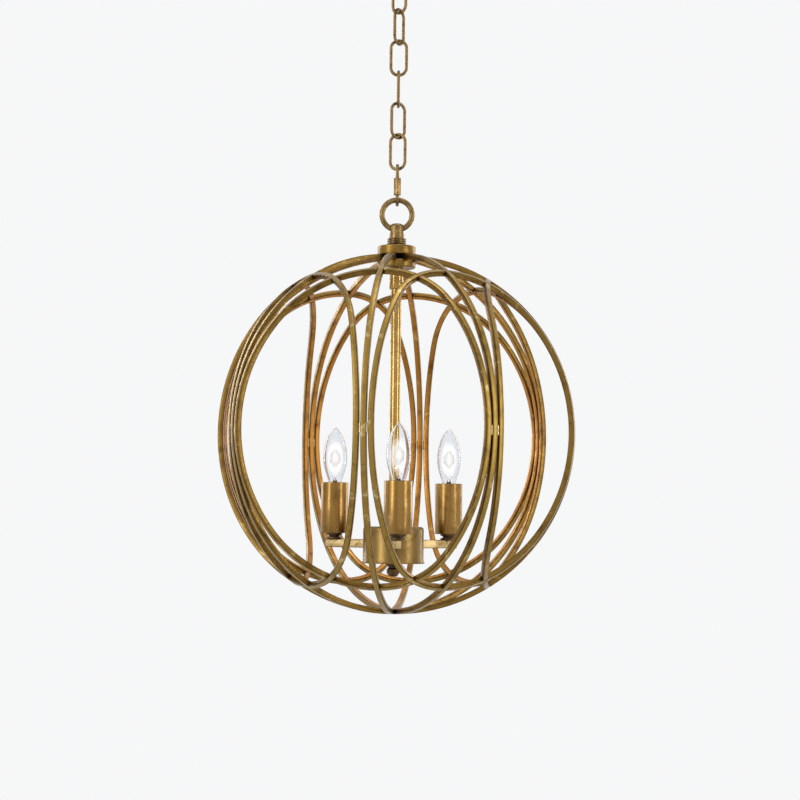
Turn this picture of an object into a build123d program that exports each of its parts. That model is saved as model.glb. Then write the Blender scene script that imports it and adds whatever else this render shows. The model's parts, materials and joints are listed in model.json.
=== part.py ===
from build123d import *
from math import asin, atan2, cos, degrees, radians, sin, sqrt
import os

# An orb chandelier: a round cage of square bar on a chain, with three candle lamps inside it.
# Lengths are in millimetres and angles in degrees. Pieces are drawn about the centre of the cage,
# +Z up and -Y to the front, and move down together at the end so that the ceiling is at Z = 0.

# Cage
cage_diameter = 457.0        # over the outside of the bars
bar = 7.0                    # square bar of ribs and loops
first_rib_azimuth = -9.0     # measured from the front towards +X
rib_pair_spacing = 90.0      # ribs stand in four pairs
narrow_gap = 40.0            # angle between the two ribs of a pair
bow_gap = 1.6                # clear space between a rib and the bow beside it at the equator
loop_latitude = 58.0         # where a loop crosses the top and bottom of its own rib
narrow_top_arc = 27.0        # angular radius of a bow's end arcs, in a narrow gap
wide_top_arc = 43.0          # the same in a wide gap
weld_height = 12.0
weld_drop = 5.0              # the weld blocks lie this far below the middle
weld_recess = 0.8            # they stay this far inside the faces of the bars

# Hub
disc_radius = 24.3
upper_disc_height = 10.3
lower_disc_height = 10.5
disc_edge = 1.0
seat_gap = 0.05              # between a hub disc and the ribs that it clamps
coupling_radius = 8.75
coupling_bore = 5.0
coupling_below_disc = 27.0
neck_radius = 8.0
neck_height = 3.5
flange_radius = 12.2
flange_height = 6.5
flange_groove = 1.2

# Screw collar, top ring and quick link
collar_radius = 9.6
collar_dome = 5.0
eye_height = 12.0            # from the flange to the middle of the ring's wire
crown = 3.7                  # metal above the eye
ring_diameter = 45.4
ring_wire = 7.0
hang_gap = 0.35              # between two pieces that hang in each other
quick_length = 55.0
quick_width = 24.0
quick_wire = 4.5
quick_mouth = 7.2            # lets the ring's wire in
nut_length = 21.6
nut_across_flats = 9.0
nut_clearance = 0.08
nut_drop = 3.7               # the closed nut sits this far below the middle of its link
nut_overlap = 1.2            # length of the lower stub that the closed nut covers

# Chain
link_length = 49.2
link_width = 24.0
link_wire = 4.0
link_turns = (-34.0, 56.0, 0.0, 90.0, 34.0, -20.0)    # how each link hangs turned, from the top

# Canopy
canopy_diameter = 127.0
canopy_height = 26.0
canopy_wall = 1.2
canopy_corner = 9.0
strap_length = 108.0
strap_width = 20.0
strap_thickness = 2.5
box_screw_spacing = 88.9
box_screw_hole = 4.6
nipple_radius = 5.0
nipple_bore = 3.4
canopy_ring_radius = 11.0
canopy_ring_height = 7.0
canopy_loop_wire = 5.0
canopy_loop_width = 26.0
canopy_loop_turn = 56.0
canopy_collar_height = 9.0
canopy_passage = 4.0         # radius of the way for the wires through the collar and its loop

# Lamp cluster
stem_radius = 6.7
stem_bore = 5.5
stem_in_coupling = 14.0
cup_top = -118.4
cup_height = 46.4
cup_radius = 38.4
cup_wall = 1.6
cup_shoulder = 4.0
cup_lip = 1.0
cup_lip_height = 2.5
finial_radius = 9.2
finial_height = 16.5
lamp_count = 3
first_lamp_azimuth = 3.7
lamp_radius = 85.1           # from the axis to each candle
arm_reach = 96.0
arm_height = 10.7
arm_width = 8.5
arm_top = -134.9
fitting_radius = 10.3
fitting_neck_radius = 7.5
fitting_height = 7.4
seat_height = 3.0
sleeve_radius = 17.5
sleeve_wall = 1.2
sleeve_length = 65.0
socket_radius = 12.0
socket_bore = 6.2
socket_below_rim = 6.0       # the socket ends this far below the rim of the sleeve
bulb_radius = 15.5
bulb_neck_radius = 8.5
bulb_exposed = 72.0          # glass that shows above the sleeve
bulb_shoulder = 41.0         # from the tip down to the widest place
bulb_tip_radius = 1.8
bulb_wall = 0.8
bulb_gap = 0.35              # between the bulb and its socket
cap_radius = 5.9
cap_length = 18.0
contact_radius = 2.4
contact_height = 1.5
mount_radius = 3.6
mount_height = 30.0

# Worked out from the sizes above
cage_radius = (cage_diameter - bar) / 2
wide_gap = rib_pair_spacing - narrow_gap
bow_offset = degrees(asin((bar + bow_gap) / cage_radius))
upper_disc_top = cage_radius + bar / 2 + upper_disc_height
lower_disc_bottom = cage_radius - bar / 2 - lower_disc_height
coupling_bottom = lower_disc_bottom - coupling_below_disc
flange_bottom = upper_disc_top + neck_height
flange_top = flange_bottom + flange_height
eye_z = flange_top + eye_height
ring_radius = (ring_diameter - ring_wire) / 2
ring_z = eye_z + ring_radius
quick_bottom = ring_z + ring_radius - (ring_wire + quick_wire) / 2 - hang_gap
quick_z = quick_bottom + (quick_length - quick_wire) / 2
quick_top = quick_bottom + quick_length - quick_wire
mouth_z = -nut_drop - nut_length / 2 + nut_overlap + quick_mouth / 2
link_count = len(link_turns)
lowest_link_z = quick_top - (quick_wire + link_wire) / 2 - hang_gap + (link_length - link_wire) / 2
link_pitch = link_length - 2 * link_wire - hang_gap
top_link_z = lowest_link_z + (link_count - 1) * link_pitch
loop_bend = (canopy_loop_width - canopy_loop_wire) / 2
loop_bottom = top_link_z + (link_length - link_wire) / 2 - (canopy_loop_wire + link_wire) / 2 - hang_gap
loop_z = loop_bottom + loop_bend
collar_foot = loop_z + loop_bend - canopy_loop_wire / 2
canopy_ring_bottom = collar_foot + canopy_collar_height
canopy_bottom = canopy_ring_bottom + canopy_ring_height
ceiling = canopy_bottom + canopy_height
cup_bottom = cup_top - cup_height
sleeve_bottom = arm_top + fitting_height
sleeve_top = sleeve_bottom + sleeve_length
socket_bottom = sleeve_bottom + seat_height
socket_top = sleeve_top - socket_below_rim
glass_bottom = socket_top + bulb_gap
bulb_tip = sleeve_top + bulb_exposed
bulb_widest = bulb_tip - bulb_shoulder

parts = {}


def keep(name, piece):
    """Store a piece under its name, moved so that the ceiling is at Z = 0."""
    parts[name] = Pos(0, 0, -ceiling) * piece


def turned(*corners):
    """Solid of revolution about Z, from the (radius, height) corners of its outline."""
    outline = make_face(Polyline(*corners, close=True))
    return revolve(Plane.XZ * outline, axis=Axis.Z)


def pillar(radius, bottom, top):
    """Upright cylinder between two heights."""
    return Pos(0, 0, bottom) * Cylinder(radius, top - bottom, align=(Align.CENTER, Align.CENTER, Align.MIN))


def tube(outer, inner, bottom, top):
    """Upright tube between two heights."""
    return pillar(outer, bottom, top) - pillar(inner, bottom - 1, top + 1)


def direction(azimuth, latitude):
    """Unit vector on the cage, azimuth 0 to the front and positive towards +X."""
    level = cos(radians(latitude))
    return Vector(level * sin(radians(azimuth)), -level * cos(radians(azimuth)), sin(radians(latitude)))


def rib_azimuth(index):
    """Ribs stand in pairs, a narrow gap inside each pair and a wide one between pairs."""
    return first_rib_azimuth + rib_pair_spacing * (index // 2) + narrow_gap * (index % 2)


# ---- cage ----

def cage_arc(centre, start, end, thickness=bar):
    """Bar of the cage along the small circle about centre, the short way from start to end."""
    axis = centre.normalized()
    from_start = (start - axis * start.dot(axis)).normalized()
    to_end = (end - axis * end.dot(axis)).normalized()
    turn = degrees(atan2(axis.dot(from_start.cross(to_end)), from_start.dot(to_end)))
    if turn < 0:
        axis = axis * -1
        turn = -turn
    section = Plane(origin=start * cage_radius, x_dir=start, z_dir=axis.cross(start).normalized())
    return revolve(section * Rectangle(thickness, bar), axis=Axis((0, 0, 0), axis), revolution_arc=turn)


def side_arc_radius(half_width, top_arc):
    """Angular radius of a bow's long side arc, which meets its end arcs without a corner.

    The two circle centres and the centre of the face of the sphere between them form a right
    spherical triangle, so cos(side - top) = cos(half_width - side) * cos(latitude - top).
    """
    across = cos(radians(loop_latitude - top_arc))
    rise = cos(radians(top_arc)) - across * cos(radians(half_width))
    run = across * sin(radians(half_width)) - sin(radians(top_arc))
    return degrees(atan2(rise, run))


def bow(gap, top_arc, side, thickness=bar):
    """Half of a loop about a rib at azimuth 0, ending on the middle of the rib.

    side is 1 towards +X and -1 towards -X. It reaches the next rib, gap degrees away.
    """
    half_width = gap - bow_offset
    side_arc = side_arc_radius(half_width, top_arc)
    side_centre = direction(side * (half_width - side_arc), 0)
    middle = direction(side * half_width, 0)
    pieces = []
    for end in (1, -1):
        top_centre = direction(0, end * (loop_latitude - top_arc))
        crown_point = direction(0, end * loop_latitude)
        towards = (top_centre - side_centre * top_centre.dot(side_centre)).normalized()
        joint = side_centre * cos(radians(side_arc)) + towards * sin(radians(side_arc))
        pieces.append(cage_arc(top_centre, crown_point, joint, thickness))
        pieces.append(cage_arc(side_centre, joint, middle, thickness))
    return pieces[0] + pieces[1:]


def rib_slab():
    """The room that a rib at azimuth 0 takes, used to end the bows on its sides."""
    return Pos(0, -cage_radius / 2, 0) * Box(bar, cage_radius + 2 * bar, 2 * cage_diameter)


def paired_bow(side, thickness=bar):
    """The bow of a rib that has its pair partner on the +X side."""
    if side > 0:
        return bow(narrow_gap, narrow_top_arc, side, thickness)
    return bow(wide_gap, wide_top_arc, side, thickness)


def mirrored_bow(side, thickness=bar):
    """The bow of a rib that has its pair partner on the -X side."""
    return mirror(paired_bow(-side, thickness), about=Plane.YZ)


def through_loop():
    """Loop of a second rib of a pair: two unbroken bows, welded to the sides of the rib."""
    return [mirrored_bow(side) - rib_slab() for side in (1, -1)]


def cut_loop():
    """Loop of a first rib: its bows are cut and welded where unbroken ones cross them."""
    thick = 2 * bar
    narrow_crossing = Rot(0, 0, narrow_gap) * mirrored_bow(-1, thick)
    wide_crossing = Rot(0, 0, -wide_gap) * mirrored_bow(1, thick)
    return [
        paired_bow(1) - rib_slab() - narrow_crossing,
        paired_bow(-1) - rib_slab() - wide_crossing,
    ]


def rib(right_gap, left_gap):
    """Half hoop at azimuth 0 from the hub to the bottom pole, mitred against its neighbours."""
    section = Plane(origin=(0, 0, cage_radius), x_dir=(1, 0, 0), z_dir=(0, -1, 0))
    hoop = revolve(section * Rectangle(bar, bar), axis=Axis.X, revolution_arc=180)
    far = cage_diameter
    right = direction(right_gap / 2, 0) * far
    left = direction(-left_gap / 2, 0) * far
    mitre = make_face(Polyline((0, 0), (right.X, right.Y), (left.X, left.Y), close=True))
    wedge = Pos(0, 0, -far) * extrude(mitre, amount=2 * far, dir=(0, 0, 1))
    return (hoop & wedge) - pillar(coupling_radius, 0, cage_diameter)


def weld_pair(side_bows):
    """Two blocks that bridge a rib at azimuth 0 to the bow on each side of it."""
    depth = bar - 2 * weld_recess
    width = 2 * bow_gap
    blocks = []
    for side, beside in zip((1, -1), side_bows):
        place = Pos(side * (bar + width) / 2, -cage_radius, -weld_drop)
        blocks.append(place * Box(width, depth, weld_height) - beside)
    return blocks


def solids_of(pieces):
    """All solids of some shapes, as one flat list."""
    return [solid for piece in pieces for solid in piece.solids()]


def inner_bit(blocks):
    """Of each block that a bow has cut through, the bit that touches the rib."""
    return [min(block.solids(), key=lambda s: abs(s.center().X)) for block in blocks]


def build_cage():
    first_rib = rib(narrow_gap, wide_gap)
    second_rib = mirror(first_rib, about=Plane.YZ)
    cut_bows = sorted(solids_of(cut_loop()), key=lambda s: s.volume)
    stubs = cut_bows[:-2]
    first_loop = Compound(children=cut_bows[-2:])
    second_loop = Compound(children=solids_of(through_loop()))
    beside_first = (
        Rot(0, 0, narrow_gap) * mirrored_bow(-1),
        Rot(0, 0, -wide_gap) * mirrored_bow(1),
    )
    first_welds = inner_bit(weld_pair(beside_first))
    second_welds = [mirror(block, about=Plane.YZ) for block in first_welds]
    welds = []
    bow_ends = []
    for index in range(8):
        spin = Rot(0, 0, rib_azimuth(index))
        second = index % 2
        keep(f"rib_{index + 1}", spin * (second_rib if second else first_rib))
        keep(f"loop_{index + 1}", spin * (second_loop if second else first_loop))
        bow_ends += [] if second else [spin * stub for stub in stubs]
        welds += [spin * block for block in (second_welds if second else first_welds)]
    keep("equator_welds", Compound(children=welds))
    keep("bow_ends_upper", Compound(children=[end for end in bow_ends if end.center().Z > 0]))
    keep("bow_ends_lower", Compound(children=[end for end in bow_ends if end.center().Z < 0]))


# ---- hub, stem and cup ----

def build_hub():
    ball_over = Sphere(cage_radius + bar / 2 + seat_gap)
    ball_under = Sphere(cage_radius - bar / 2 - seat_gap)
    upper = tube(disc_radius, coupling_radius, cage_radius - bar, upper_disc_top)
    upper = chamfer(upper.edges().filter_by(GeomType.CIRCLE).group_by(Axis.Z)[-1].sort_by(Edge.length)[-1], disc_edge)
    lower = tube(disc_radius, coupling_radius, lower_disc_bottom, cage_radius)
    lower = chamfer(lower.edges().filter_by(GeomType.CIRCLE).group_by(Axis.Z)[0].sort_by(Edge.length)[-1], disc_edge)
    keep("hub_disc_upper", upper - ball_over)
    keep("hub_disc_lower", lower & ball_under)

    seat = coupling_bottom + stem_in_coupling
    coupling = pillar(coupling_radius, coupling_bottom, upper_disc_top)
    coupling -= pillar(stem_radius, coupling_bottom - 1, seat)
    coupling -= pillar(coupling_bore, seat - 1, upper_disc_top + 1)
    keep("stem_coupling", coupling)
    keep("stem_tube", tube(stem_radius, stem_bore, cup_top - cup_wall, seat))


def build_collar():
    groove = flange_radius - flange_groove
    step = flange_height / 5
    heights = [flange_bottom + step * n for n in range(6)]
    flange = turned(
        (0, upper_disc_top), (neck_radius, upper_disc_top), (neck_radius, flange_bottom),
        (flange_radius, flange_bottom), (flange_radius, heights[1]), (groove, heights[1]),
        (groove, heights[2]), (flange_radius, heights[2]), (flange_radius, heights[3]),
        (groove, heights[3]), (groove, heights[4]), (flange_radius, heights[4]),
        (flange_radius, flange_top), (0, flange_top),
    )
    keep("collar_flange", flange)

    collar_top = eye_z + ring_wire / 2 + hang_gap + crown
    body = pillar(collar_radius, flange_top, collar_top)
    body = fillet(body.edges().filter_by(GeomType.CIRCLE).group_by(Axis.Z)[-1], collar_dome)
    # The eye flares with the curve of the ring, so that the ring can swing in it.
    throat = ring_wire / 2 + hang_gap
    curve = ring_radius - throat
    reach = collar_radius + 1
    mouth = throat + curve - sqrt(curve**2 - reach**2)
    with BuildLine() as outline:
        Line((-reach, 0), (reach, 0))
        Line((reach, 0), (reach, mouth))
        ThreePointArc((reach, mouth), (0, throat), (-reach, mouth))
        Line((-reach, mouth), (-reach, 0))
    eye = revolve(make_face(outline.edges()), axis=Axis.X)
    keep("screw_collar", body - Pos(0, 0, eye_z) * eye)


def build_cup():
    inside = cup_radius - cup_wall
    roof = cup_top - cup_wall
    floor = cup_bottom + cup_wall
    shell = turned(
        (stem_radius, cup_top), (cup_radius, cup_top), (cup_radius, cup_bottom + cup_lip_height),
        (cup_radius + cup_lip, cup_bottom + cup_lip_height), (cup_radius + cup_lip, cup_bottom),
        (0, cup_bottom), (0, floor), (inside, floor), (inside, roof), (stem_radius, roof),
    )
    rim = shell.edges().filter_by(GeomType.CIRCLE).group_by(Axis.Z)[-1].sort_by(Edge.length)[-1]
    shell = fillet(rim, cup_shoulder)
    for index in range(lamp_count):
        shell -= Rot(0, 0, lamp_azimuth(index)) * arm_bar()
    keep("cluster_cup", shell)

    knob = turned(
        (0, cup_bottom), (finial_radius, cup_bottom), (finial_radius, cup_bottom - 3),
        (finial_radius - 3, cup_bottom - 4), (finial_radius - 3, cup_bottom - 6),
        (finial_radius - 1, cup_bottom - 7), (finial_radius - 1, cup_bottom - 12),
        (finial_radius - 4, cup_bottom - finial_height), (0, cup_bottom - finial_height),
    )
    keep("cup_finial", knob)


# ---- candles ----

def lamp_azimuth(index):
    return first_lamp_azimuth + 360 / lamp_count * index


def arm_bar():
    """Flat arm at azimuth 0, from inside the wall of the cup to its square end."""
    start = cup_radius - cup_wall
    length = arm_reach - start
    return Pos(0, -start - length / 2, arm_top - arm_height / 2) * Box(arm_width, length, arm_height)


def bulb_outline(inset):
    """Half section of the torpedo glass, inset from its outer face, closed on the axis."""
    belly = bulb_radius - inset
    tip = bulb_tip_radius
    neck = bulb_neck_radius - inset
    top = bulb_tip - inset
    upper_rise = bulb_shoulder - tip
    upper_run = bulb_radius - tip
    upper_curve = (upper_run**2 + upper_rise**2) / (2 * upper_run)
    lower_rise = bulb_widest - sleeve_top
    lower_run = bulb_radius - bulb_neck_radius
    lower_curve = (lower_run**2 + lower_rise**2) / (2 * lower_run)
    upper_angle = asin(upper_rise / upper_curve) / 2
    lower_angle = asin(lower_rise / lower_curve) / 2
    upper_centre = bulb_radius - upper_curve
    lower_centre = bulb_radius - lower_curve
    upper = upper_curve - inset
    lower = lower_curve - inset
    shoulder = (upper_centre + upper * cos(2 * upper_angle), bulb_widest + upper * sin(2 * upper_angle))
    waist = (lower_centre + lower * cos(2 * lower_angle), bulb_widest - lower * sin(2 * lower_angle))
    with BuildLine() as outline:
        Line((0, glass_bottom), (neck, glass_bottom))
        Line((neck, glass_bottom), waist)
        ThreePointArc(
            waist,
            (lower_centre + lower * cos(lower_angle), bulb_widest - lower * sin(lower_angle)),
            (belly, bulb_widest),
        )
        ThreePointArc(
            (belly, bulb_widest),
            (upper_centre + upper * cos(upper_angle), bulb_widest + upper * sin(upper_angle)),
            shoulder,
        )
        Line(shoulder, (0, top))
        Line((0, top), (0, glass_bottom))
    return Plane.XZ * make_face(outline.edges())


def build_candle(index):
    place = Rot(0, 0, lamp_azimuth(index)) * Pos(0, -lamp_radius, 0)
    number = index + 1
    keep(f"arm_{number}", Rot(0, 0, lamp_azimuth(index)) * arm_bar())

    step = fitting_height / 3
    inside = sleeve_radius - sleeve_wall
    fitting = turned(
        (0, arm_top), (fitting_radius, arm_top), (fitting_radius, arm_top + step),
        (fitting_neck_radius, arm_top + step), (fitting_neck_radius, arm_top + 2 * step),
        (fitting_radius, arm_top + 2 * step), (fitting_radius, sleeve_bottom),
        (inside, sleeve_bottom), (inside, socket_bottom), (0, socket_bottom),
    )
    keep(f"socket_fitting_{number}", place * fitting)
    keep(f"candle_sleeve_{number}", place * tube(sleeve_radius, inside, sleeve_bottom, sleeve_top))

    cap_bottom = glass_bottom - cap_length
    well = cap_bottom - contact_height - bulb_gap
    socket = pillar(socket_radius, socket_bottom, socket_top) - pillar(socket_bore, well, socket_top + 1)
    keep(f"lamp_socket_{number}", place * socket)

    cap = pillar(cap_radius, cap_bottom, glass_bottom)
    cap += pillar(contact_radius, cap_bottom - contact_height, cap_bottom)
    keep(f"bulb_cap_{number}", place * cap)
    envelope = revolve(bulb_outline(0), axis=Axis.Z) - revolve(bulb_outline(bulb_wall), axis=Axis.Z)
    envelope += pillar(bulb_neck_radius, glass_bottom, glass_bottom + bulb_wall)
    rod = turned(
        (0, glass_bottom + bulb_wall), (mount_radius, glass_bottom + bulb_wall),
        (mount_radius / 2, glass_bottom + mount_height), (0, glass_bottom + mount_height),
    )
    keep(f"bulb_glass_{number}", place * (envelope + rod))


# ---- ring, chain and canopy ----

def oval_link(length, width, wire):
    """Closed oval link of round wire, standing in the XZ plane about the origin."""
    bend = (width - wire) / 2
    straight = length - wire - 2 * bend
    bottom = revolve(Pos(bend, 0, 0) * Circle(wire / 2), axis=Axis.Y, revolution_arc=180)
    top = Rot(180, 0, 0) * bottom
    link = Pos(0, 0, -straight / 2) * bottom + Pos(0, 0, straight / 2) * top
    for side in (bend, -bend):
        link += Pos(side, 0, 0) * Cylinder(wire / 2, straight)
    return link


def build_quick_link():
    bend = (quick_width - quick_wire) / 2
    link = oval_link(quick_length, quick_width, quick_wire)
    mouth = Pos(-bend, 0, mouth_z) * Box(2 * quick_wire, 2 * quick_wire, quick_mouth)
    sleeve = extrude(RegularPolygon(nut_across_flats / 2, 6, major_radius=False), amount=nut_length)
    sleeve = Pos(-bend, 0, -nut_drop - nut_length / 2) * sleeve
    sleeve -= Pos(-bend, 0, 0) * Cylinder(quick_wire / 2 + nut_clearance, 2 * nut_length)
    place = Pos(0, 0, quick_z) * Rot(0, 0, 90)
    keep("quick_link", place * (link - mouth))
    keep("quick_link_nut", place * sleeve)


def build_chain():
    keep("top_ring", Pos(0, 0, ring_z) * Rot(90, 0, 0) * Torus(ring_radius, ring_wire / 2))
    build_quick_link()
    link = oval_link(link_length, link_width, link_wire)
    for index, turn in enumerate(link_turns):
        height = top_link_z - index * link_pitch
        keep(f"chain_link_{index + 1}", Pos(0, 0, height) * Rot(0, 0, turn) * link)


def build_canopy():
    radius = canopy_diameter / 2
    inside = radius - canopy_wall
    dish = pillar(radius, canopy_bottom, ceiling)
    dish = fillet(dish.edges().filter_by(GeomType.CIRCLE).group_by(Axis.Z)[0], canopy_corner)
    hollow = pillar(inside, canopy_bottom + canopy_wall, ceiling + 1)
    hollow = fillet(hollow.edges().filter_by(GeomType.CIRCLE).group_by(Axis.Z)[0], canopy_corner - canopy_wall)
    keep("canopy", dish - hollow - pillar(nipple_radius, canopy_bottom - 1, ceiling))

    strap = Pos(0, 0, ceiling - strap_thickness / 2) * Box(strap_length, strap_width, strap_thickness)
    strap -= pillar(nipple_radius, ceiling - 2 * strap_thickness, ceiling + 1)
    for side in (1, -1):
        hole = pillar(box_screw_hole / 2, ceiling - 2 * strap_thickness, ceiling + 1)
        strap -= Pos(side * box_screw_spacing / 2, 0, 0) * hole
    keep("canopy_strap", strap)

    keep("canopy_nipple", tube(nipple_radius, nipple_bore, collar_foot + canopy_collar_height / 2, ceiling))
    keep("canopy_ring", tube(canopy_ring_radius, nipple_radius, canopy_ring_bottom, canopy_bottom))

    eye = Pos(0, 0, loop_z) * Rot(90, 0, 0) * Torus(loop_bend, canopy_loop_wire / 2)
    collar = pillar(collar_radius, collar_foot, canopy_ring_bottom)
    collar -= pillar(nipple_radius, collar_foot + canopy_collar_height / 2, canopy_ring_bottom + 1)
    passage = pillar(canopy_passage, loop_z, canopy_ring_bottom)
    keep("canopy_loop", Rot(0, 0, canopy_loop_turn) * (eye + collar - passage))


build_cage()
build_hub()
build_collar()
build_cup()
for lamp in range(lamp_count):
    build_candle(lamp)
build_chain()
build_canopy()

os.makedirs("parts", exist_ok=True)
for node, piece in parts.items():
    export_step(piece, f"parts/{node}.step")
print(len(parts), "pieces, ceiling", round(ceiling, 2), "above the middle of the cage")
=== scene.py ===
import json
import math

import bmesh
import bpy
from mathutils import Matrix, Vector, noise


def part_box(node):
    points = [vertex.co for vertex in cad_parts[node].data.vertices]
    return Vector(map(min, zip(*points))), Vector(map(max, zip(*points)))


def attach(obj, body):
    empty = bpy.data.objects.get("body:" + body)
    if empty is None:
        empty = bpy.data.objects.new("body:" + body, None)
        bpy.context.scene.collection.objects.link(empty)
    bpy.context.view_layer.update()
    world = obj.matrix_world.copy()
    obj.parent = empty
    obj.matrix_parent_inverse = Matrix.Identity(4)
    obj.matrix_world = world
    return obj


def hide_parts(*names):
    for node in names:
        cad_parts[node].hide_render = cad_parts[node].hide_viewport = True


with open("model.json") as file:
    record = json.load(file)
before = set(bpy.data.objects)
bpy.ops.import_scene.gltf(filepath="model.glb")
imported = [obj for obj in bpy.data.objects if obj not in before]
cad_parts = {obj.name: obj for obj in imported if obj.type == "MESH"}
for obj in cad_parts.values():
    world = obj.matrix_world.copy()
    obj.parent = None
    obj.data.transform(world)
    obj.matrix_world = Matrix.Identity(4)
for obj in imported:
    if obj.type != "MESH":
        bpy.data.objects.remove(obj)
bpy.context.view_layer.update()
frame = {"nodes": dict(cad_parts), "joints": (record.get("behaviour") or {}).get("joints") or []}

# The looks of an orb chandelier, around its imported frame. Lengths are in metres, angles in degrees.

NODES = frame["nodes"]
JOINTS = {joint["name"]: joint for joint in frame["joints"]}

# Cage
BAR = 0.007
RIBS = 8
FIRST_RIB = -9.0             # azimuth of the first rib, from the front towards +X
PAIR_SPACING = 90.0          # the ribs stand in four pairs
NARROW_GAP = 40.0            # between the two ribs of a pair
LOOP_LATITUDE = 58.0         # where a loop crosses its own rib
MARK_RADIUS = 0.0011
MARK_PROUD = 0.00015
MARK_FROM_RIB = 0.0050       # from the side of the rib to the middle of a mark
FACES_OUT = 0.7              # cosine past which a face of a bar counts as facing in or out, and takes painted bulb light or a painted highlight

# Edges
BAR_EDGE = 0.0009
ARM_EDGE = 0.0007
WELD_EDGE = 0.0006
TURNED_EDGE = 0.0005
NUT_EDGE = 0.0004
THIN_EDGE = 0.0003
WELD_LUMP = 0.00025          # how far the surface of a weld wanders
LUMP_SCALE = 420.0
SEAM_REACH = 2e-6            # points of a CAD mesh that lie closer than this are one
FLAT_ANGLE = 0.6             # faces that turn by less than this are one flat face
EASED_ANGLE = 38.0           # an edge that turns by more than this is eased
SHARP_ANGLE = 40.0           # an edge that turns by more than this isn't shaded smooth

# Leafed metal
SPECK_SCALE = 240.0
SPECK_SHADE = 0.28           # of the dark colour
# how far the painted shade in crevices reaches
PAINTED_SHADE_REACH = 0.006
GRAIN_DEPTH = 0.0009
LACQUER = 0.15
LACQUER_ROUGHNESS = 0.22

# Bulb
GLASS_WALL = 0.0008
GLASS_INDEX = 1.22
GLASS_GLOSS = 0.35
GLASS_STEPS = 56             # round the glass
TIP_SOLID = 3 * GLASS_WALL   # glass at the tip, over the hollow
TIP_RADIUS = 0.0012
SHOULDER = 0.041             # from the tip down to the widest place
NECK_RADIUS = 0.0085
STEM_FOOT = 0.0014           # above the bottom of the glass
STEM_SEAT = 0.010            # from the foot of the stem up to where the leads come out
STEM_OUTLINE = (             # radius, height over the foot
    (0, 0), (0.0058, 0), (0.0042, 0.003), (0.0028, 0.006),
    (0.0022, 0.008), (0.0016, STEM_SEAT), (0, 0.0106))
LEAD_WIRE = 0.00022
LEAD_PATH = ((0.0006, -0.004), (0.0012, 0), (0.0040, 0.004), (0.0046, 0.009))    # aside, over the seat
COIL_HALF, COIL_HEIGHT = LEAD_PATH[-1]
COIL_TURNS = 9
COIL_STEPS = 6               # in each turn
COIL_RADIUS = 0.0006
COIL_WIRE = 0.00018
COIL_BOW = 0.0028            # how far its middle stands over its ends
GLOW_SHELLS = 7
GLOW_SMALLEST = 0.30         # size of the innermost shell, of the outermost
GLOW_HALF_HEIGHT = 0.0225
GLOW_HALF_WIDTH = 0.0110
GLOW_STRENGTH = 1.7
GLOW_COVER = 0.16            # how much the innermost shell hides
WARM = (1.0, 0.62, 0.30)
BULB_POWER = 1.1
BULB_SOURCE = 0.010

# Chain
SEAM_ASIDE = 0.010           # from the middle of a link to the wire of its side
SEAM_LIFT = 0.0022
SEAM_RADIUS = 0.00195
SEAM_WIRE = 0.00022

# Camera, as fitted to the photograph, about the middle of the cage
CAMERA_DISTANCE = 2.257
CAMERA_BELOW = 0.1154
CAMERA_PITCH = 3.997
CAMERA_YAW = -0.101
LANTERN_LEAN = 0.629         # the lantern hangs this far out of plumb, so the camera leans instead
LEAN_ABOUT = 0.2635          # height over the middle of the cage that the lean turns about
FOCAL_PIXELS = 1778.6
IMAGE_PIXELS = 800.0
SENSOR = 36.0                # in millimetres, as the camera takes it
FAR_CLIP = 60.0

# Studio
BACKGROUND = (0.925, 0.93, 0.935)
SKY_LIGHT = (0.95, 0.97, 1.0)
SKY_STRENGTH = 0.55
FLOOR_BELOW = 0.75
FLOOR_RADIUS = 3.0
FLOOR_SOLID = 0.9            # within this radius the floor is whole
FLOOR_COLOUR = (0.90, 0.90, 0.90)
LAMPS = (                    # name, place about the middle of the cage, width, height, power
    ("key", (-1.7, -1.5, 0.7), 0.30, 1.9, 16),
    ("fill", (1.9, -1.1, 0.2), 0.26, 1.8, 11),
    ("back_left", (-1.5, 1.5, 0.7), 0.26, 1.6, 10),
    ("back_right", (1.6, 1.4, 0.5), 0.26, 1.6, 10),
    ("top", (0.2, -0.1, 2.0), 0.9, 0.9, 9),
)


def cage_middle():
    """The middle of the cage and half its height, from the boxes of all ribs."""
    lows, highs = zip(*(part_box(f"rib_{n}") for n in range(1, 9)))
    low = min(corner.z for corner in lows)
    high = max(corner.z for corner in highs)
    return Vector((0, 0, (low + high) / 2)), (high - low) / 2


CAGE, CAGE_OUTSIDE = cage_middle()
CAGE_RADIUS = CAGE_OUTSIDE - BAR / 2


# ---- materials ----

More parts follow.
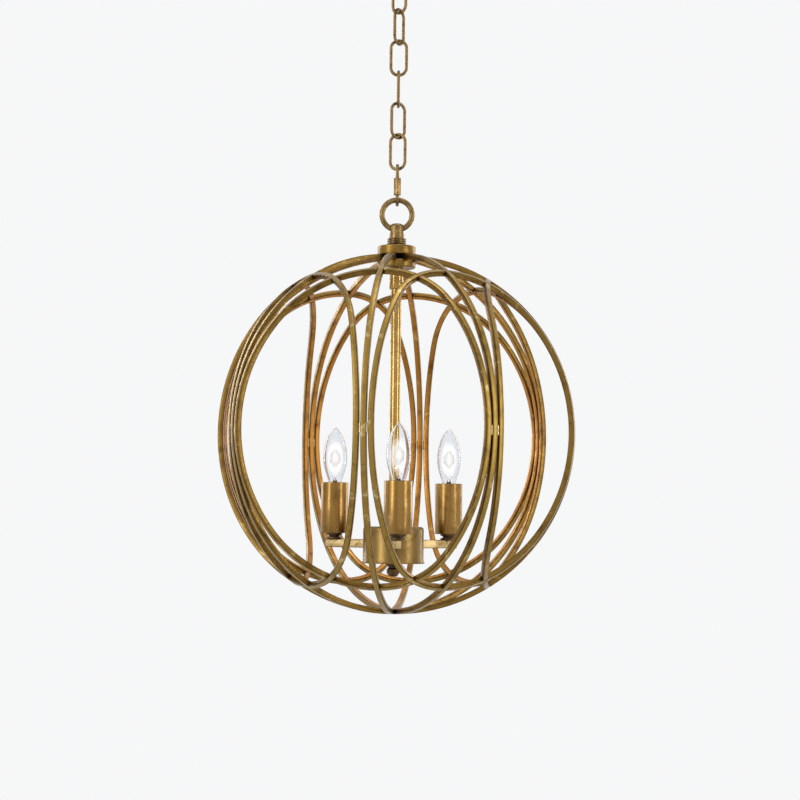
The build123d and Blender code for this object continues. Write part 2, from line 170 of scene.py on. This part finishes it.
class Shader:
    """A node tree with short ways to add nodes and link them."""

    def __init__(self, name):
        self.material = bpy.data.materials.new(name)
        self.material.use_nodes = True
        self.tree = self.material.node_tree
        self.tree.nodes.clear()
        self.output = self.tree.nodes.new("ShaderNodeOutputMaterial")

    def add(self, kind, **settings):
        node = self.tree.nodes.new(kind)
        for key, value in settings.items():
            if hasattr(node, key):
                setattr(node, key, value)
            else:
                node.inputs[key.replace("_", " ")].default_value = value
        return node

    def link(self, source, target):
        self.tree.links.new(source, target)

    def place(self, stretch=(1, 1, 1)):
        """Coordinates in the frame of the object, in metres."""
        where = self.add("ShaderNodeTexCoord")
        mapping = self.add("ShaderNodeMapping")
        mapping.inputs["Scale"].default_value = stretch
        self.link(where.outputs["Object"], mapping.inputs["Vector"])
        return mapping.outputs["Vector"]

    def noise(self, where, scale, detail=5.0, roughness=0.6, distortion=0.0):
        node = self.add("ShaderNodeTexNoise")
        node.inputs["Scale"].default_value = scale
        node.inputs["Detail"].default_value = detail
        node.inputs["Roughness"].default_value = roughness
        node.inputs["Distortion"].default_value = distortion
        self.link(where, node.inputs["Vector"])
        return node.outputs["Fac"]

    def ramp(self, source, *stops):
        node = self.add("ShaderNodeValToRGB")
        elements = node.color_ramp.elements
        while len(elements) < len(stops):
            elements.new(0.5)
        for element, (position, colour) in zip(elements, stops):
            element.position = position
            element.color = (*colour, 1.0) if isinstance(colour, tuple) else (colour,) * 3 + (1.0,)
        self.link(source, node.inputs["Fac"])
        return node.outputs["Color"]

    def mix(self, factor, first, second, blend="MIX"):
        node = self.add("ShaderNodeMix", data_type="RGBA", blend_type=blend)
        for source, socket in ((factor, 0), (first, 6), (second, 7)):
            if hasattr(source, "links"):
                self.link(source, node.inputs[socket])
            elif socket == 0:
                node.inputs[socket].default_value = source
            else:
                node.inputs[socket].default_value = (*source, 1.0)
        return node.outputs[2]

    def bump(self, height, strength, distance):
        node = self.add("ShaderNodeBump")
        node.inputs["Strength"].default_value = strength
        node.inputs["Distance"].default_value = distance
        self.link(height, node.inputs["Height"])
        return node.outputs["Normal"]

    def surface(self, node):
        self.link(node.outputs[0], self.output.inputs["Surface"])
        return self.material


def leafed_metal(
        name, dark, body, pale, rough=(0.26, 0.48), speckle=0.5, patch=34.0, painted_shade=0.4, grain=0.35):
    """Lacquered metal leaf: soft patches, fine streaks, dark specks and painted shade in crevices.

    rough is the range of roughness, patch the scale of the patches, and speckle, the painted-shade
    strength and grain are how strong the specks, the painted shade in crevices and the bumps are.
    """
    s = Shader(name)
    where = s.place()
    patches = s.noise(where, patch, detail=7.0, roughness=0.62, distortion=0.7)
    colour = s.ramp(patches, (0.30, dark), (0.47, body), (0.58, body), (0.74, pale))
    fine = s.noise(where, patch * 9, detail=4.0, roughness=0.7)
    colour = s.mix(s.ramp(fine, (0.35, 0.0), (0.75, 0.45)), colour, pale, "SOFT_LIGHT")

    cells = s.add("ShaderNodeTexVoronoi")
    cells.inputs["Scale"].default_value = SPECK_SCALE
    cells.inputs["Randomness"].default_value = 1.0
    s.link(where, cells.inputs["Vector"])
    dots = s.ramp(cells.outputs["Distance"], (0.10, 1.0), (0.26, 0.0))
    islands = s.ramp(s.noise(where, patch * 1.7, detail=3.0), (0.50, 0.0), (0.62, speckle))
    specks = s.mix(1.0, dots, islands, "MULTIPLY")
    colour = s.mix(specks, colour, tuple(SPECK_SHADE * part for part in dark))

    # Painted shade: ambient occlusion darkens the colour in crevices and where other parts come close.
    shade = s.add("ShaderNodeAmbientOcclusion", samples=6, only_local=False)
    shade.inputs["Distance"].default_value = PAINTED_SHADE_REACH
    shadow = s.ramp(shade.outputs["AO"], (0.25, 1.0 - painted_shade), (0.85, 1.0))
    colour = s.mix(1.0, colour, shadow, "MULTIPLY")

    metal = s.add("ShaderNodeBsdfPrincipled")
    metal.inputs["Metallic"].default_value = 1.0
    s.link(colour, metal.inputs["Base Color"])
    s.link(s.ramp(fine, (0.2, rough[0]), (0.8, rough[1])), metal.inputs["Roughness"])
    s.link(s.bump(s.mix(0.35, fine, patches), grain, GRAIN_DEPTH), metal.inputs["Normal"])
    metal.inputs["Coat Weight"].default_value = LACQUER
    metal.inputs["Coat Roughness"].default_value = LACQUER_ROUGHNESS
    return s.surface(metal)


def clear_glass():
    """Clear glass, greyer and browner where its wall is seen edge on."""
    s = Shader("bulb_glass_clear")
    glass = s.add("ShaderNodeBsdfPrincipled")
    glass.inputs["Roughness"].default_value = 0.0
    glass.inputs["IOR"].default_value = GLASS_INDEX
    glass.inputs["Transmission Weight"].default_value = 1.0
    glass.inputs["Specular IOR Level"].default_value = GLASS_GLOSS
    edge_on = s.add("ShaderNodeLayerWeight", Blend=0.5)
    tint = s.ramp(
        edge_on.outputs["Facing"], (0.0, (0.93, 0.94, 0.96)), (0.55, (0.86, 0.87, 0.90)),
        (0.80, (0.58, 0.50, 0.46)), (1.0, (0.22, 0.13, 0.09)))
    s.link(tint, glass.inputs["Base Color"])
    return s.surface(glass)


def glow(name, strength, cover):
    """A thin layer of light, partly clear, for the bright middle of a bulb."""
    s = Shader(name)
    clear = s.add("ShaderNodeBsdfTransparent")
    light = s.add("ShaderNodeEmission")
    light.inputs["Color"].default_value = (1.0, 0.97, 0.92, 1.0)
    light.inputs["Strength"].default_value = strength
    both = s.add("ShaderNodeMixShader")
    haze = s.noise(s.place((1, 1, 0.25)), 260.0, detail=2.0)
    s.link(s.ramp(haze, (0.25, cover * 0.6), (0.75, min(1.0, cover * 1.4))), both.inputs[0])
    s.link(clear.outputs[0], both.inputs[1])
    s.link(light.outputs[0], both.inputs[2])
    return s.surface(both)


def hot_wire():
    """The lit filament."""
    s = Shader("filament_hot")
    light = s.add("ShaderNodeEmission")
    light.inputs["Color"].default_value = (1.0, 0.88, 0.66, 1.0)
    light.inputs["Strength"].default_value = 3.0
    return s.surface(light)


def moulded(name, low, high, rough):
    """Dull plastic with a fine grain, between two colours."""
    s = Shader(name)
    grain = s.noise(s.place(), 420.0, detail=3.0)
    body = s.add("ShaderNodeBsdfPrincipled")
    body.inputs["Roughness"].default_value = rough
    s.link(s.ramp(grain, (0.3, low), (0.7, high)), body.inputs["Base Color"])
    s.link(s.bump(grain, 0.2, 0.0004), body.inputs["Normal"])
    return s.surface(body)


def plated(name, low, high, rough):
    """Bright metal with drawn streaks, between two colours."""
    s = Shader(name)
    streaks = s.noise(s.place((1, 8, 8)), 90.0, detail=4.0)
    body = s.add("ShaderNodeBsdfPrincipled")
    body.inputs["Metallic"].default_value = 1.0
    s.link(s.ramp(streaks, (0.3, low), (0.7, high)), body.inputs["Base Color"])
    s.link(s.ramp(streaks, (0.2, rough), (0.8, rough + 0.15)), body.inputs["Roughness"])
    return s.surface(body)


LEAF = leafed_metal(
    "gold_leaf_worn", (0.085, 0.046, 0.008), (0.215, 0.128, 0.026), (0.52, 0.37, 0.13))
# Painted highlight: the outward faces of the bars take a paler leaf with cream patches, as if lit from
# outside; its extra specks are the leaf's own.
LEAF_OUTSIDE_PAINTED_HIGHLIGHT = leafed_metal(
    "gold_leaf_outside_painted_highlight", (0.125, 0.075, 0.013), (0.270, 0.170, 0.036), (0.80, 0.66, 0.36),
    speckle=0.75)
# Painted light: the inward faces of the bars take an orange leaf, as if lit by the warm bulbs.
LEAF_INSIDE_PAINTED_BULB_LIGHT = leafed_metal(
    "gold_leaf_inside_painted_bulb_light", (0.170, 0.070, 0.010), (0.450, 0.205, 0.035), (0.82, 0.52, 0.18))
# Painted shade: a near-black leaf on the eased edges of bars, arms and the cup, drawn as dark
# outlines.
LEAF_EDGE_PAINTED_SHADE = leafed_metal(
    "gold_leaf_edge_painted_shade", (0.026, 0.012, 0.002), (0.085, 0.044, 0.009), (0.50, 0.36, 0.14),
    rough=(0.30, 0.50), patch=60.0)
ARM_LEAF = leafed_metal(
    "gold_leaf_pitted", (0.26, 0.16, 0.05), (0.58, 0.44, 0.22), (0.84, 0.73, 0.48),
    speckle=1.0, patch=70.0)
SATIN = leafed_metal(
    "candle_satin", (0.150, 0.085, 0.022), (0.300, 0.180, 0.052), (0.52, 0.35, 0.14),
    rough=(0.24, 0.36), speckle=0.45, patch=26.0, grain=0.12)
CUP = leafed_metal(
    "cup_satin", (0.100, 0.062, 0.018), (0.225, 0.145, 0.045), (0.47, 0.34, 0.14),
    rough=(0.28, 0.42), speckle=0.8, patch=30.0, grain=0.2)
BRASS = leafed_metal(
    "stem_brass", (0.240, 0.140, 0.040), (0.420, 0.275, 0.090), (0.62, 0.45, 0.19),
    rough=(0.14, 0.24), speckle=0.2, patch=30.0, painted_shade=0.5, grain=0.08)
AGED = leafed_metal(
    "aged_brass", (0.090, 0.055, 0.020), (0.215, 0.140, 0.052), (0.46, 0.34, 0.16),
    rough=(0.22, 0.38), speckle=0.5, patch=90.0, painted_shade=0.8)
DARK = leafed_metal(
    "finial_bronze", (0.045, 0.026, 0.011), (0.115, 0.068, 0.025), (0.34, 0.22, 0.09),
    rough=(0.24, 0.42), speckle=0.6, patch=110.0, painted_shade=0.8)
# Painted highlight: the welds are cream, far paler than the leaf, and take no painted shade in
# crevices.
WELD_PAINTED_HIGHLIGHT = leafed_metal(
    "weld_painted_highlight", (0.55, 0.44, 0.22), (0.84, 0.75, 0.50), (0.95, 0.90, 0.74),
    rough=(0.30, 0.50), speckle=0.15, patch=150.0, painted_shade=0.0)
CAP_BRASS = plated("cap_brass", (0.58, 0.47, 0.26), (0.78, 0.67, 0.42), 0.25)
ZINC = plated("strap_zinc", (0.45, 0.45, 0.45), (0.66, 0.66, 0.65), 0.32)
PHENOLIC = moulded("socket_phenolic", (0.018, 0.016, 0.014), (0.05, 0.044, 0.038), 0.42)
DARK_GAP = moulded("dark_gap", (0.010, 0.008, 0.006), (0.05, 0.035, 0.02), 0.5)
WIRE = plated("support_wire", (0.50, 0.46, 0.40), (0.72, 0.68, 0.60), 0.3)
GLASS = clear_glass()
HOT = hot_wire()
GLOWS = [
    glow(f"bulb_glow_{shell + 1}", GLOW_STRENGTH, GLOW_COVER / (1 + shell) ** 0.5)
    for shell in range(GLOW_SHELLS)]


# ---- meshes ----

def placed(name, data):
    """A new object in the scene."""
    thing = bpy.data.objects.new(name, data)
    bpy.context.scene.collection.objects.link(thing)
    return thing


def mesh_of(bm, name):
    """A mesh made from an edit mesh, which is freed."""
    mesh = bpy.data.meshes.new(name)
    bm.to_mesh(mesh)
    bm.free()
    return mesh


def face_the_cage(mesh):
    """Number the faces of a bar: 0 beside, 1 eased edge with painted shade, 2 towards the lamps with
    painted bulb light, 3 outward with a painted highlight.
    """
    for face in mesh.polygons:
        out = (face.center - CAGE).normalized().dot(face.normal)
        if face.material_index == 0 and abs(out) > FACES_OUT:
            face.material_index = 3 if out > 0 else 2


def add_mesh(name, mesh, material, body, edge=None, cage=False):
    """A new object that rides on a body, with smooth shading except at sharp edges.

    edge is the material of its eased edges, drawn as a painted shade, and cage gives a bar's inner and
    outer faces theirs, with painted bulb light inside and a painted highlight outside.
    """
    piece = placed(name, mesh)
    if cage:
        face_the_cage(mesh)
    numbers = [face.material_index for face in mesh.polygons]
    mesh.materials.clear()
    mesh.materials.append(material)
    if edge:
        mesh.materials.append(edge)
    if cage:
        mesh.materials.append(LEAF_INSIDE_PAINTED_BULB_LIGHT)
        mesh.materials.append(LEAF_OUTSIDE_PAINTED_HIGHLIGHT)
    for face, number in zip(mesh.polygons, numbers):
        face.use_smooth = True
        face.material_index = number if edge else 0
    mesh.set_sharp_from_angle(angle=math.radians(SHARP_ANGLE))
    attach(piece, body)
    return piece


def finished(piece):
    """The mesh of an object with its modifiers applied."""
    graph = bpy.context.evaluated_depsgraph_get()
    return bpy.data.meshes.new_from_object(piece.evaluated_get(graph))


def welded_copy(node):
    """The mesh of a CAD node with its seams closed and its flat faces whole again."""
    bm = bmesh.new()
    bm.from_mesh(NODES[node].data)
    bmesh.ops.remove_doubles(bm, verts=bm.verts, dist=SEAM_REACH)
    bmesh.ops.dissolve_limit(
        bm, angle_limit=math.radians(FLAT_ANGLE), verts=bm.verts, edges=bm.edges, delimit=set())
    return mesh_of(bm, node + "_soft")


def softened(
        node, width, material, body="lantern", edge=None, segments=2, lump=0.0, cage=False):
    """Stands for a CAD node whose sharp edges are eased, as worn and painted edges are."""
    mesh = welded_copy(node)
    piece = placed(node + "_eased", mesh)
    bevel = piece.modifiers.new("ease", "BEVEL")
    bevel.width = width
    bevel.segments = segments
    bevel.limit_method = "ANGLE"
    bevel.angle_limit = math.radians(EASED_ANGLE)
    bevel.use_clamp_overlap = True
    if edge:
        mesh.materials.append(material)
        mesh.materials.append(edge)
        bevel.material = 1
    if lump:
        rounder = piece.modifiers.new("rounder", "SUBSURF")
        rounder.levels = 2
    eased = finished(piece)
    bpy.data.objects.remove(piece)
    if lump:
        for vertex in eased.vertices:
            vertex.co += noise.noise_vector(vertex.co * LUMP_SCALE) * lump
    new = add_mesh(node + "_eased", eased, material, body, edge=edge, cage=cage)
    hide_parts(node)
    return new


def lathe(profile, steps=48):
    """Mesh turned about Z from (radius, height) points. A radius of 0 closes on the axis."""
    bm = bmesh.new()
    rings = []
    for radius, height in profile:
        if radius == 0:
            rings.append([bm.verts.new((0, 0, height))])
            continue
        ring = []
        for step in range(steps):
            turn = 2 * math.pi * step / steps
            ring.append(bm.verts.new((radius * math.cos(turn), radius * math.sin(turn), height)))
        rings.append(ring)
    for lower, upper in zip(rings, rings[1:]):
        for step in range(steps):
            ahead = (step + 1) % steps
            corners = [lower[step % len(lower)], lower[ahead % len(lower)]]
            corners += [upper[ahead % len(upper)], upper[step % len(upper)]]
            unique = list(dict.fromkeys(corners))
            if len(unique) > 2:
                bm.faces.new(unique)
    bmesh.ops.recalc_face_normals(bm, faces=bm.faces)
    return mesh_of(bm, "turned")


def lathe_at(place, profile, steps):
    """A mesh turned about Z and then moved, so that its origin is at place."""
    mesh = lathe(profile, steps)
    mesh.transform(Matrix.Translation(place))
    return mesh


def shell_of(outside, inside):
    """One mesh of an outer skin and an inner skin that faces the hollow."""
    bm = bmesh.new()
    bm.from_mesh(inside)
    bmesh.ops.reverse_faces(bm, faces=bm.faces)
    bm.from_mesh(outside)
    return mesh_of(bm, "shell")


def wire_mesh(points, radius, closed=False):
    """Round wire along a smooth path."""
    curve = bpy.data.curves.new("wire", "CURVE")
    curve.dimensions = "3D"
    curve.bevel_depth = radius
    curve.bevel_resolution = 2
    curve.use_fill_caps = True
    spline = curve.splines.new("NURBS")
    spline.points.add(len(points) - 1)
    for point, place in zip(spline.points, points):
        point.co = (*place, 1.0)
    spline.order_u = 3
    spline.use_endpoint_u = not closed
    spline.use_cyclic_u = closed
    holder = placed("wire", curve)
    mesh = finished(holder)
    bpy.data.objects.remove(holder)
    bpy.data.curves.remove(curve)
    return mesh


def dress(node, material):
    """Give a CAD node a finish, and keep its shape."""
    mesh = NODES[node].data
    mesh.materials.clear()
    mesh.materials.append(material)
    for face in mesh.polygons:
        face.material_index = 0


# ---- the cage ----

def rib_azimuth(index):
    """Azimuth of a rib, counted from 0."""
    return FIRST_RIB + PAIR_SPACING * (index // 2) + NARROW_GAP * (index % 2)


def outward(azimuth, latitude):
    """Unit vector from the middle of the cage; azimuth runs from the front towards +X."""
    turn = math.radians(azimuth)
    rise = math.radians(latitude)
    level = math.cos(rise)
    return Vector((level * math.sin(turn), -level * math.cos(turn), math.sin(rise)))


def make_cage():
    for number in range(1, RIBS + 1):
        softened(f"rib_{number}", BAR_EDGE, LEAF, edge=LEAF_EDGE_PAINTED_SHADE, cage=True)
        softened(f"loop_{number}", BAR_EDGE, LEAF, edge=LEAF_EDGE_PAINTED_SHADE, cage=True)
    for ends in ("bow_ends_upper", "bow_ends_lower"):
        softened(ends, BAR_EDGE, LEAF, edge=LEAF_EDGE_PAINTED_SHADE, cage=True)
    softened("equator_welds", WELD_EDGE, WELD_PAINTED_HIGHLIGHT, lump=WELD_LUMP)


def make_marks():
    """A small dark spot beside each crossing of a loop and its rib, inside and outside the cage."""
    bm = bmesh.new()
    for index in range(RIBS):
        for latitude in (LOOP_LATITUDE, -LOOP_LATITUDE):
            across = (BAR / 2 + MARK_FROM_RIB) / (CAGE_RADIUS * math.cos(math.radians(latitude)))
            out = outward(rib_azimuth(index) - math.degrees(across), latitude)
            turn = out.to_track_quat("Z", "Y").to_matrix().to_4x4()
            for face in (1, -1):
                centre = CAGE + out * (CAGE_RADIUS + face * (BAR / 2))
                bmesh.ops.create_cone(
                    bm, cap_ends=True, segments=12, radius1=MARK_RADIUS, radius2=MARK_RADIUS,
                    depth=2 * MARK_PROUD, matrix=Matrix.Translation(centre) @ turn)
    add_mesh("bow_marks", mesh_of(bm, "bow_marks"), DARK_GAP, "lantern")


# ---- hub, stem and cup ----

def make_hub():
    softened("hub_disc_upper", TURNED_EDGE, LEAF)
    softened("hub_disc_lower", TURNED_EDGE, LEAF)
    softened("stem_coupling", TURNED_EDGE, BRASS)
    softened("collar_flange", THIN_EDGE, AGED)
    dress("screw_collar", AGED)
    dress("stem_tube", BRASS)
    dress("top_ring", AGED)
    softened("cluster_cup", THIN_EDGE, CUP, edge=LEAF_EDGE_PAINTED_SHADE)
    softened("cup_finial", TURNED_EDGE, DARK, segments=3)


# ---- candles ----

def torpedo(bottom, neck_top, widest, tip, neck_radius, radius, steps=26):
    """Outline of a candle bulb: straight neck, swelling belly, long taper to a small round tip."""
    points = [(neck_radius, bottom), (neck_radius, neck_top)]
    for step in range(1, steps // 2):
        t = step / (steps // 2)
        points.append((
            neck_radius + (radius - neck_radius) * math.sin(t * math.pi / 2) ** 1.15,
            neck_top + (widest - neck_top) * t))
    for step in range(steps):
        t = step / steps
        taper = 1 - 0.62 * t ** 1.9 - 0.38 * t ** 5
        points.append((radius * taper, widest + (tip - widest) * t))
    points.append((TIP_RADIUS, tip - 0.0004))
    points.append((0, tip))
    return points


def make_envelope(number, node, axis, low, high):
    """The hollow glass, just inside its CAD node, which it stands for."""
    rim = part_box(f"candle_sleeve_{number}")[1].z
    radius = (high.x - low.x) / 2
    tip = high.z
    outline = torpedo(
        low.z, rim + 0.0005, tip - SHOULDER, tip - 0.0003, NECK_RADIUS, radius - 0.0001)
    floor = low.z + GLASS_WALL
    roof = tip - TIP_SOLID
    hollow = [(max(r - GLASS_WALL, 0.0), max(z, floor)) for r, z in outline if z < roof]
    outside = lathe([(0, low.z)] + outline, GLASS_STEPS)
    inside = lathe([(0, floor)] + hollow + [(0, roof)], GLASS_STEPS)
    wall = shell_of(outside, inside)
    wall.transform(Matrix.Translation(axis))
    glass = add_mesh(f"bulb_{number}_envelope", wall, GLASS, f"bulb_{number}")
    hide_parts(node)


def make_filament(number, axis, foot):
    """Glass stem, two leads and the coil between their ends."""
    body = f"bulb_{number}"
    stem = lathe_at(axis + Vector((0, 0, foot)), STEM_OUTLINE, 24)
    add_mesh(f"bulb_{number}_stem", stem, GLASS, body)

    seat = foot + STEM_SEAT
    for side, name in ((1, "right"), (-1, "left")):
        path = [axis + Vector((side * aside, 0, seat + rise)) for aside, rise in LEAD_PATH]
        lead = wire_mesh(path, LEAD_WIRE)
        add_mesh(f"bulb_{number}_lead_{name}", lead, WIRE, body)

    coil = []
    steps = COIL_TURNS * COIL_STEPS
    for step in range(steps + 1):
        along = step / steps
        turn = 2 * math.pi * COIL_TURNS * along
        rise = seat + COIL_HEIGHT + COIL_BOW * math.sin(math.pi * along)
        coil.append(axis + Vector((
            COIL_HALF * (2 * along - 1), COIL_RADIUS * math.cos(turn),
            rise + COIL_RADIUS * math.sin(turn))))
    add_mesh(f"bulb_{number}_filament", wire_mesh(coil, COIL_WIRE), HOT, body)


def make_glow(number, heart):
    """Light that fades outward from the heart of the bulb: egg-shaped shells inside each other."""
    steps = 16
    for layer, material in enumerate(GLOWS):
        size = GLOW_SMALLEST + (1 - GLOW_SMALLEST) * layer / (GLOW_SHELLS - 1)
        tall = GLOW_HALF_HEIGHT * size
        wide = GLOW_HALF_WIDTH * size
        turns = [math.pi * step / steps for step in range(1, steps)]
        egg = [(wide * math.sin(turn), -tall * math.cos(turn)) for turn in turns]
        shell = lathe_at(heart, [(0, -tall)] + egg + [(0, tall)], 24)
        name = f"bulb_{number}_glow_{layer + 1}"
        piece = add_mesh(name, shell, material, f"bulb_{number}")
        piece.visible_shadow = False
        piece.visible_diffuse = False

    lamp = bpy.data.lights.new(f"bulb_{number}_light", "POINT")
    lamp.energy = BULB_POWER
    lamp.color = WARM
    lamp.shadow_soft_size = BULB_SOURCE
    holder = placed(f"bulb_{number}_light", lamp)
    holder.location = heart
    holder.visible_camera = False
    holder.visible_glossy = False
    holder.visible_transmission = False


def make_bulb(number):
    node = f"bulb_glass_{number}"
    low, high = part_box(node)
    axis = Vector(((low.x + high.x) / 2, (low.y + high.y) / 2, 0))
    make_envelope(number, node, axis, low, high)
    make_filament(number, axis, low.z + STEM_FOOT)
    make_glow(number, axis + Vector((0, 0, high.z - SHOULDER)))


def make_candle(number):
    softened(f"arm_{number}", ARM_EDGE, ARM_LEAF, edge=LEAF_EDGE_PAINTED_SHADE)
    softened(f"socket_fitting_{number}", THIN_EDGE, DARK)
    # The sleeve's eased edges take the dark bronze as painted shade lines.
    softened(f"candle_sleeve_{number}", THIN_EDGE, SATIN, edge=DARK)
    dress(f"lamp_socket_{number}", PHENOLIC)
    dress(f"bulb_cap_{number}", CAP_BRASS)
    make_bulb(number)


# ---- chain and canopy ----

def make_seam(number, below):
    """The closed gap of a link, a dark line round its wire near the middle of one side."""
    low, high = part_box(f"chain_link_{number}")
    centre = (low + high) / 2 + Vector((0, 0, SEAM_LIFT))
    direction = Vector(JOINTS[below]["axis"])
    normal = direction.cross(Vector((0, 0, 1)))
    ring = []
    steps = 24
    for step in range(steps):
        turn = 2 * math.pi * step / steps
        across = direction * (SEAM_ASIDE + SEAM_RADIUS * math.cos(turn))
        ring.append(centre + across + normal * (SEAM_RADIUS * math.sin(turn)))
    seam = wire_mesh(ring, SEAM_WIRE, closed=True)
    add_mesh(f"link_seam_{number}", seam, DARK_GAP, f"link_{number}")


def make_chain():
    count = sum(1 for node in NODES if node.startswith("chain_link_"))
    for number in range(1, count + 1):
        dress(f"chain_link_{number}", AGED)
        below = f"link_{number + 1}_swing" if number < count else "quick_link_swing"
        make_seam(number, below)
    dress("quick_link", AGED)
    softened("quick_link_nut", NUT_EDGE, AGED, body="quick_link_nut")


def make_canopy():
    softened("canopy", THIN_EDGE, LEAF, body="ceiling_mount")
    softened("canopy_ring", TURNED_EDGE, LEAF, body="ceiling_mount")
    softened("canopy_strap", THIN_EDGE, ZINC, body="ceiling_mount")
    dress("canopy_nipple", ZINC)
    dress("canopy_loop", AGED)


# ---- studio ----

def make_camera():
    lens = bpy.data.cameras.new("camera")
    lens.sensor_width = SENSOR
    lens.lens = FOCAL_PIXELS / IMAGE_PIXELS * SENSOR
    lens.clip_end = FAR_CLIP
    camera = placed("camera", lens)
    place = Vector((0, -CAMERA_DISTANCE, CAGE.z - CAMERA_BELOW))
    hang = Vector((0, 0, CAGE.z + LEAN_ABOUT))
    lean = Matrix.Rotation(math.radians(LANTERN_LEAN), 3, "Y").transposed()
    yaw = Matrix.Rotation(math.radians(CAMERA_YAW), 3, "Z")
    pitch = Matrix.Rotation(math.radians(CAMERA_PITCH), 3, "X")
    right, ahead, up = (lean @ yaw @ pitch).col
    turn = Matrix((right, up, -ahead)).transposed().to_4x4()
    camera.matrix_world = Matrix.Translation(lean @ (place - hang) + hang) @ turn
    bpy.context.scene.camera = camera


def soft_box(name, place, width, height, power):
    """A rectangular lamp that faces the middle of the cage."""
    lamp = bpy.data.lights.new(name, "AREA")
    lamp.shape = "RECTANGLE"
    lamp.size = width
    lamp.size_y = height
    lamp.energy = power
    holder = placed(name, lamp)
    holder.location = CAGE + Vector(place)
    holder.rotation_euler = (-Vector(place)).to_track_quat("-Z", "Y").to_euler()


def seen_directly(tree):
    """1 where the camera, a reflection or clear glass looks at something, 0 where it only lights."""
    path = tree.nodes.new("ShaderNodeLightPath")
    total = path.outputs["Is Camera Ray"]
    for kind in ("Is Glossy Ray", "Is Transmission Ray"):
        larger = tree.nodes.new("ShaderNodeMath")
        larger.operation = "MAXIMUM"
        tree.links.new(total, larger.inputs[0])
        tree.links.new(path.outputs[kind], larger.inputs[1])
        total = larger.outputs[0]
    return total


def make_world():
    world = bpy.data.worlds.new("studio")
    bpy.context.scene.world = world
    world.use_nodes = True
    tree = world.node_tree
    tree.nodes.clear()
    output = tree.nodes.new("ShaderNodeOutputWorld")
    mix = tree.nodes.new("ShaderNodeMixShader")
    for socket, colour, strength in ((1, SKY_LIGHT, SKY_STRENGTH), (2, BACKGROUND, 1.0)):
        layer = tree.nodes.new("ShaderNodeBackground")
        layer.inputs["Color"].default_value = (*colour, 1.0)
        layer.inputs["Strength"].default_value = strength
        tree.links.new(layer.outputs[0], mix.inputs[socket])
    tree.links.new(seen_directly(tree), mix.inputs[0])
    tree.links.new(mix.outputs[0], output.inputs["Surface"])


def make_floor():
    """A pale floor that keeps the shadow and thins out towards its rim."""
    bm = bmesh.new()
    bmesh.ops.create_circle(bm, cap_ends=True, segments=96, radius=FLOOR_RADIUS)
    mesh = mesh_of(bm, "floor")
    floor = placed("floor", mesh)
    floor.location = (0, 0, CAGE.z - CAGE_OUTSIDE - FLOOR_BELOW)
    s = Shader("floor_pale")
    body = s.add("ShaderNodeBsdfDiffuse")
    body.inputs["Color"].default_value = (*FLOOR_COLOUR, 1.0)
    clear = s.add("ShaderNodeBsdfTransparent")
    away = s.add("ShaderNodeVectorMath", operation="LENGTH")
    s.link(s.place(), away.inputs[0])
    thin = s.add("ShaderNodeMapRange", interpolation_type="SMOOTHSTEP")
    s.link(away.outputs["Value"], thin.inputs["Value"])
    thin.inputs["From Min"].default_value = FLOOR_SOLID
    thin.inputs["From Max"].default_value = FLOOR_RADIUS
    both = s.add("ShaderNodeMixShader")
    s.link(thin.outputs["Result"], both.inputs[0])
    s.link(body.outputs[0], both.inputs[1])
    s.link(clear.outputs[0], both.inputs[2])
    mesh.materials.append(s.surface(both))


def make_studio():
    make_world()
    make_floor()
    for lamp in LAMPS:
        soft_box(*lamp)


make_camera()
make_cage()
make_marks()
make_hub()
for lamp_number in (1, 2, 3):
    make_candle(lamp_number)
make_chain()
make_canopy()
make_studio()

view = bpy.context.scene.view_settings
view.view_transform = "Standard"
